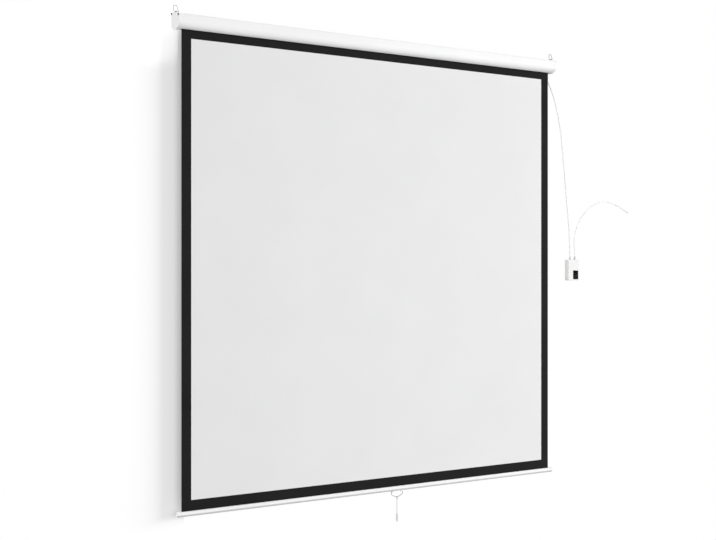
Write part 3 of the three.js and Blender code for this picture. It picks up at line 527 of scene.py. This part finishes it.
for side, outwards in (("left", -1), ("right", 1)):
    cap_low, cap_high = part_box(f"end_cap_{side}")
    cap_face = (cap_low if outwards < 0 else cap_high).x
    for end in ("rear", "front"):
        screw = f"cap_screw_{side}_{end}"
        head = screw_head(f"cap_screw_head_{side}_{end}", cap_face, centre_of(screw), outwards)
        stand_for(head, "housing", "dark_screw", screw)

# Fabric: one closed sheet, with the printed border a step proud of the image
STEP = 0.0001
CELLS = 48
RIPPLE = 0.00012
RIPPLES_ACROSS = 7.3
SWAY = 1.9
SWAYS_DOWN = 2.1

cloth_low, cloth_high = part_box("screen_fabric")
image_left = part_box("border_left")[1].x
image_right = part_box("border_right")[0].x
image_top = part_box("border_top")[0].z
border_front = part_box("border_left")[0].y


def grid_lines(edges, cells):
    """Grid lines through the edges, with a pair of lines a step apart at each inner edge."""
    first, *inner, last = edges
    stops = [first]
    for edge in inner:
        stops += [edge, edge + STEP]
    stops.append(last)
    grid = [stops[0]]
    for a, b in zip(stops, stops[1:]):
        count = max(1, round((b - a) / (last - first) * cells))
        grid += [a + (b - a) * i / count for i in range(1, count + 1)]
    return grid


def on_image(x, z):
    return image_left - STEP / 2 < x < image_right + STEP / 2 and z < image_top + STEP / 2


def ripple(x, z):
    return RIPPLE * (1 + math.sin(RIPPLES_ACROSS * x + SWAY * math.sin(SWAYS_DOWN * z)))


def hanging_sheet():
    """The sheet's points, its faces, and for each face 0 for image, 1 for border or 2 for back."""
    xs = grid_lines([cloth_low.x, image_left - STEP, image_right, cloth_high.x], CELLS)
    zs = grid_lines([cloth_low.z, image_top, cloth_high.z], CELLS)
    fronts, backs, faces, looks = [], [], [], []
    for z in zs:
        for x in xs:
            y = cloth_low.y if on_image(x, z) else border_front
            fronts.append((x, y + ripple(x, z), z))
            backs.append((x, cloth_high.y, z))
    wide, tall = len(xs), len(zs)
    behind = wide * tall
    for j in range(tall - 1):
        for i in range(wide - 1):
            a = j * wide + i
            b, c, d = a + 1, a + 1 + wide, a + wide
            faces.append((a, b, c, d))
            looks.append(0 if on_image((xs[i] + xs[i + 1]) / 2, (zs[j] + zs[j + 1]) / 2) else 1)
            faces.append((behind + a, behind + d, behind + c, behind + b))
            looks.append(2)
    bottom = list(range(wide))
    right = [j * wide + wide - 1 for j in range(1, tall)]
    top = [(tall - 1) * wide + i for i in range(wide - 2, -1, -1)]
    left = [j * wide for j in range(tall - 2, 0, -1)]
    rim = bottom + right + top + left
    for a, b in zip(rim, rim[1:] + rim[:1]):
        faces.append((b, a, behind + a, behind + b))
        looks.append(1)
    return fronts + backs, faces, looks


sheet_points, sheet_faces, sheet_looks = hanging_sheet()
cloth = mesh_piece(
    "screen_cloth", sheet_points, sheet_faces, (image_cloth, border_cloth, back_cloth), sheet_looks
)
stand_for(
    cloth, "housing", "screen_white", "screen_fabric", "border_top", "border_left", "border_right"
)
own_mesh(cloth)

# Painted shade: a thin grey strip round the bar's lower front corner, a darker band put where the
# corner turns down into shade
BAR_CORNER = 0.0065
STRIP_TALL = 0.0078
STRIP_THICK = 0.0003
STRIP_OFF = 0.0002
STRIP_TURN = (180, 250)
STRIP_STEPS = 14
STRIP_CELLS = 12

bar_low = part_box("bottom_bar")[0]
corner_middle = (bar_low.y + BAR_CORNER, bar_low.z + BAR_CORNER)
strip_line = [(bar_low.y - STRIP_OFF, bar_low.z + STRIP_TALL)]
for angle in sweep(STRIP_TURN, STRIP_STEPS):
    strip_line.append(on_circle(corner_middle, BAR_CORNER + STRIP_OFF, angle))
strip = run_along_x(
    "bar_painted_shade_strip", ribbon(strip_line, STRIP_THICK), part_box("bar_cap_left")[0].x,
    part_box("bar_cap_right")[1].x, (painted_shade_grey,), STRIP_CELLS,
)
stand_for(strip, "bar", "grey_plastic")

# Hem: the bottom border, wrapped round its rod in the bar's groove and welded to itself
CLOTH_THICK = 0.0004
HEM_OFF = 0.0001
HEM_TURN = (100, 445)
HEM_STEPS = 22
HEM_START_SHARE = 1.1

rod_low, rod_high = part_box("hem_rod")
rod = centre_of("hem_rod")
border_low, border_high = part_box("border_bottom")
loop_radius = (rod_high.z - rod_low.z) / 2 + HEM_OFF + CLOTH_THICK / 2
sheet_y = (cloth_low.y + cloth_high.y) / 2
hem_line = [
    (sheet_y, border_high.z), (sheet_y, border_low.z),
    (sheet_y, rod[1] + loop_radius * HEM_START_SHARE),
]
for angle in sweep(HEM_TURN, HEM_STEPS)[1:]:
    hem_line.append(on_circle(rod, loop_radius, angle))
hem_outline = [
    (border_low.y, z) if y < sheet_y and z > border_low.z - STEP else (y, z)
    for y, z in ribbon(hem_line, CLOTH_THICK)
]
hem = run_along_x(
    "hem_cloth", hem_outline, cloth_low.x, cloth_high.x, (border_cloth, back_cloth), CELLS,
    [1 if i < len(hem_line) - 1 else 0 for i in range(len(hem_outline))],
)
stand_for(hem, "bar", "black_cloth", "hem_strip", "border_bottom")

# Spare turns of black leader on the roller, wound as one spiral
SPARE_TURNS = 1.8
SPIRAL_STEPS = 72
SPIRAL_CELLS = 4
CLOTH_ON_ROLL = 0.00036
ROLL_OFF = 0.00012
TURN_OFF = 0.00004

turns_low, turns_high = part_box("spare_wraps")
roll_low, roll_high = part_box("roller_tube")
roller_axis = centre_of("roller_tube")
innermost = (roll_high.z - roll_low.z) / 2 + ROLL_OFF + CLOTH_ON_ROLL / 2
spiral = []
for i in range(SPIRAL_STEPS + 1):
    angle = -2 * math.pi * SPARE_TURNS * (1 - i / SPIRAL_STEPS) + math.pi
    radius = innermost + SPARE_TURNS * (CLOTH_ON_ROLL + TURN_OFF) * i / SPIRAL_STEPS
    spiral.append(on_circle(roller_axis, radius, angle))
turns = run_along_x(
    "leader_turns", ribbon(spiral, CLOTH_ON_ROLL), turns_low.x, turns_high.x, (back_cloth,),
    SPIRAL_CELLS,
)
stand_for(turns, "roller", "black_cloth", "spare_wraps")

# Pull cord: a loop round the bail and an overhand knot, on the hanging string
KNOT_BELOW = 0.006
KNOT_SIZE = 0.00105
KNOT_STEPS = 60
KNOT_RADIUS_SHARE = 0.75
LOOP_RADIUS = 0.00275
LOOP_STEPS = 32


def on_knot(t):
    x = (math.sin(t) + 2 * math.sin(2 * t)) / 2
    y = -math.sin(3 * t)
    z = (math.cos(t) - 2 * math.cos(2 * t)) / 2
    return APEX + Vector((x * KNOT_SIZE, y * KNOT_SIZE, z * KNOT_SIZE - KNOT_BELOW))


def on_loop(t):
    return APEX + LOOP_RADIUS * Vector((0, math.cos(t), math.sin(t)))


knot = round_wire(
    "pull_knot", [on_knot(t) for t in round_once(KNOT_STEPS)], STRING_RADIUS * KNOT_RADIUS_SHARE,
    closed=True,
)
loop = round_wire(
    "pull_loop", [on_loop(t) for t in round_once(LOOP_STEPS)], STRING_RADIUS, closed=True
)
for piece in (string, knot, loop):
    dress(piece, braid)
    stand_for(piece, "pull", "lead_sheath")
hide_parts("pull_cord")

# Mains leads
for piece, old in ((motor_cord, "motor_cord"), (supply_cord, "supply_cord")):
    dress(piece, sheath)
    stand_for(piece, "housing", "lead_sheath", old)

# Short lead inside the right cap, from the motor's head to the gland
INNER_LEAD = 0.0022

lead_low, lead_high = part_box("motor_lead")
straight = Vector((0, 0, INNER_LEAD))
start = Vector((lead_low.x + INNER_LEAD, roller_axis[0], lead_high.z))
end = Vector((lead_high.x - INNER_LEAD, roller_axis[0], lead_low.z))
inner_lead = round_wire(
    "motor_lead_inside", smooth_line([start, start - straight, end + straight, end]), INNER_LEAD
)
dress(inner_lead, sheath)
stand_for(inner_lead, "housing", "lead_sheath", "motor_lead")

# Stage: a pale wall left of the fabric, and a pale floor

# Only the camera sees them, and only from the front. The wall ends behind the fabric, so that the
# pull swings back freely, and the white world goes on from there.
WALL_Y = 0.002
WALL_END = -0.9
WALL_TOP = 4
FLOOR_Z = -2.5
REACH = 9
STAGE_PAINT = (0.8, 0.8, 0.8)


def backdrop(name, corners, paint_name, glow):
    made, tree, out = shader(paint_name)
    out.inputs["Base Color"].default_value = rgb(STAGE_PAINT)
    out.inputs["Roughness"].default_value = 0.95
    out.inputs["Specular IOR Level"].default_value = 0.0
    out.inputs["Emission Color"].default_value = (1, 1, 1, 1)
    out.inputs["Emission Strength"].default_value = glow
    clear = node(tree, "ShaderNodeBsdfTransparent").outputs[0]
    behind = node(tree, "ShaderNodeNewGeometry").outputs["Backfacing"]
    mixed = node(tree, "ShaderNodeMixShader", inputs={0: behind, 1: out.outputs[0], 2: clear})
    tree.links.new(mixed.outputs[0], tree.nodes["Material Output"].inputs["Surface"])
    obj = mesh_piece(name, corners, [(0, 1, 2, 3)], (made,))
    obj.visible_diffuse = False
    obj.visible_glossy = False
    obj.visible_transmission = False
    obj.visible_shadow = False
    return obj


wall = backdrop(
    "wall",
    [
        (-REACH, WALL_Y, FLOOR_Z), (WALL_END, WALL_Y, FLOOR_Z),
        (WALL_END, WALL_Y, WALL_TOP), (-REACH, WALL_Y, WALL_TOP),
    ],
    "wall_paint", glow=0.3,
)
floor = backdrop(
    "floor",
    [
        (-REACH, -REACH, FLOOR_Z), (REACH, -REACH, FLOOR_Z),
        (REACH, WALL_Y, FLOOR_Z), (-REACH, WALL_Y, FLOOR_Z),
    ],
    "floor_paint", glow=0.7,
)

# World: white to the camera, to gloss and to glass, and for the rest a soft light from the left
WORLD_LIGHT = 0.27
FALL_BELOW = 0.1
LEFT_LIGHT = 1.78
TOP_LIGHT = 0.1
LOBE_POWER = 4.0

world = bpy.data.worlds.new("world")
bpy.context.scene.world = world
world.use_nodes = True
sky = world.node_tree
sky.nodes.clear()
paths = node(sky, "ShaderNodeLightPath").outputs
mirrored = maths(sky, "MAXIMUM", paths["Is Glossy Ray"], paths["Is Transmission Ray"])
seen = maths(sky, "MAXIMUM", paths["Is Camera Ray"], mirrored)
towards = node(sky, "ShaderNodeTexCoord").outputs["Generated"]
split = node(sky, "ShaderNodeSeparateXYZ", inputs={0: towards}).outputs


def lobe(sign, axis, strength):
    """Light from one side of the sky, strongest along its axis."""
    facing = maths(sky, "MAXIMUM", maths(sky, "MULTIPLY", split[axis], sign), 0.0)
    return maths(sky, "MULTIPLY", maths(sky, "POWER", facing, LOBE_POWER), strength)


sides = maths(sky, "ADD", lobe(-1.0, "X", LEFT_LIGHT), lobe(1.0, "Z", TOP_LIGHT))
slope = maths(sky, "MULTIPLY", split["Z"], WORLD_LIGHT * FALL_BELOW)
strength = maths(sky, "ADD", sides, maths(sky, "ADD", slope, WORLD_LIGHT))
white = node(sky, "ShaderNodeBackground", inputs={"Color": (1, 1, 1, 1), "Strength": 1.0})
light = node(sky, "ShaderNodeBackground", inputs={"Color": (1, 1, 1, 1), "Strength": strength})
both = node(sky, "ShaderNodeMixShader", inputs={0: seen, 1: light.outputs[0], 2: white.outputs[0]})
node(sky, "ShaderNodeOutputWorld", inputs={"Surface": both.outputs[0]})


# Lamps
def lamp(name, kind, place, target, watts):
    data = bpy.data.lights.new(name, kind)
    data.energy = watts
    return aim(link(name, data), place, Vector(target) - Vector(place))


def softbox(name, place, target, size, watts):
    obj = lamp(name, "AREA", place, target, watts)
    obj.data.shape = "RECTANGLE"
    obj.data.size, obj.data.size_y = size
    return obj


def linked(name, objects, state="INCLUDE"):
    """Objects that a lamp reaches or is blocked by, or with EXCLUDE those that it leaves out."""
    group = bpy.data.collections.new(name)
    for obj in objects:
        group.objects.link(obj)
    for entry in group.collection_objects:
        entry.light_linking.link_state = state
    return group


MIDDLE = (0, 0, -0.9)
cloths = linked("cloths", (cloth, hem))

# The key lights the object alone, from the front right
key = softbox("key", (8.5, -7.8, 0.2), MIDDLE, size=(6.0, 5.0), watts=890)
key.light_linking.receiver_collection = linked("beyond_key", (wall, floor), "EXCLUDE")

# The wash, further round to the right, throws the cloth's shadow on the wall
wash = softbox("wall_wash", (12.4, -5.0, 2.2), MIDDLE, size=(9.0, 3.0), watts=2060)
wash.light_linking.receiver_collection = linked("wash_reaches", (wall, floor))
wash.light_linking.blocker_collection = cloths

# The glow fades the top of that shadow, beside the casing
glow = lamp("wall_glow", "SPOT", (-1.3, -3.0, 0.6), (-1.02, 0, -0.05), watts=90)
glow.data.spot_size = math.radians(5.6)
glow.data.spot_blend = 0.75
glow.data.shadow_soft_size = 0.02
glow.light_linking.receiver_collection = linked("glow_reaches", (wall,))
glow.light_linking.blocker_collection = cloths

# Weaker boxes fill the front, the back and the top
softbox("fill", (-1.0, -6.0, -1.2), (0, 0, -1.0), size=(4.0, 3.0), watts=90)
softbox("back", (2.5, 7.0, 0.8), MIDDLE, size=(5.0, 4.0), watts=190)
softbox("top", (0.0, 0.6, 3.4), (0, 0, 0), size=(4.0, 0.8), watts=24)

bpy.context.scene.view_settings.view_transform = "Standard"
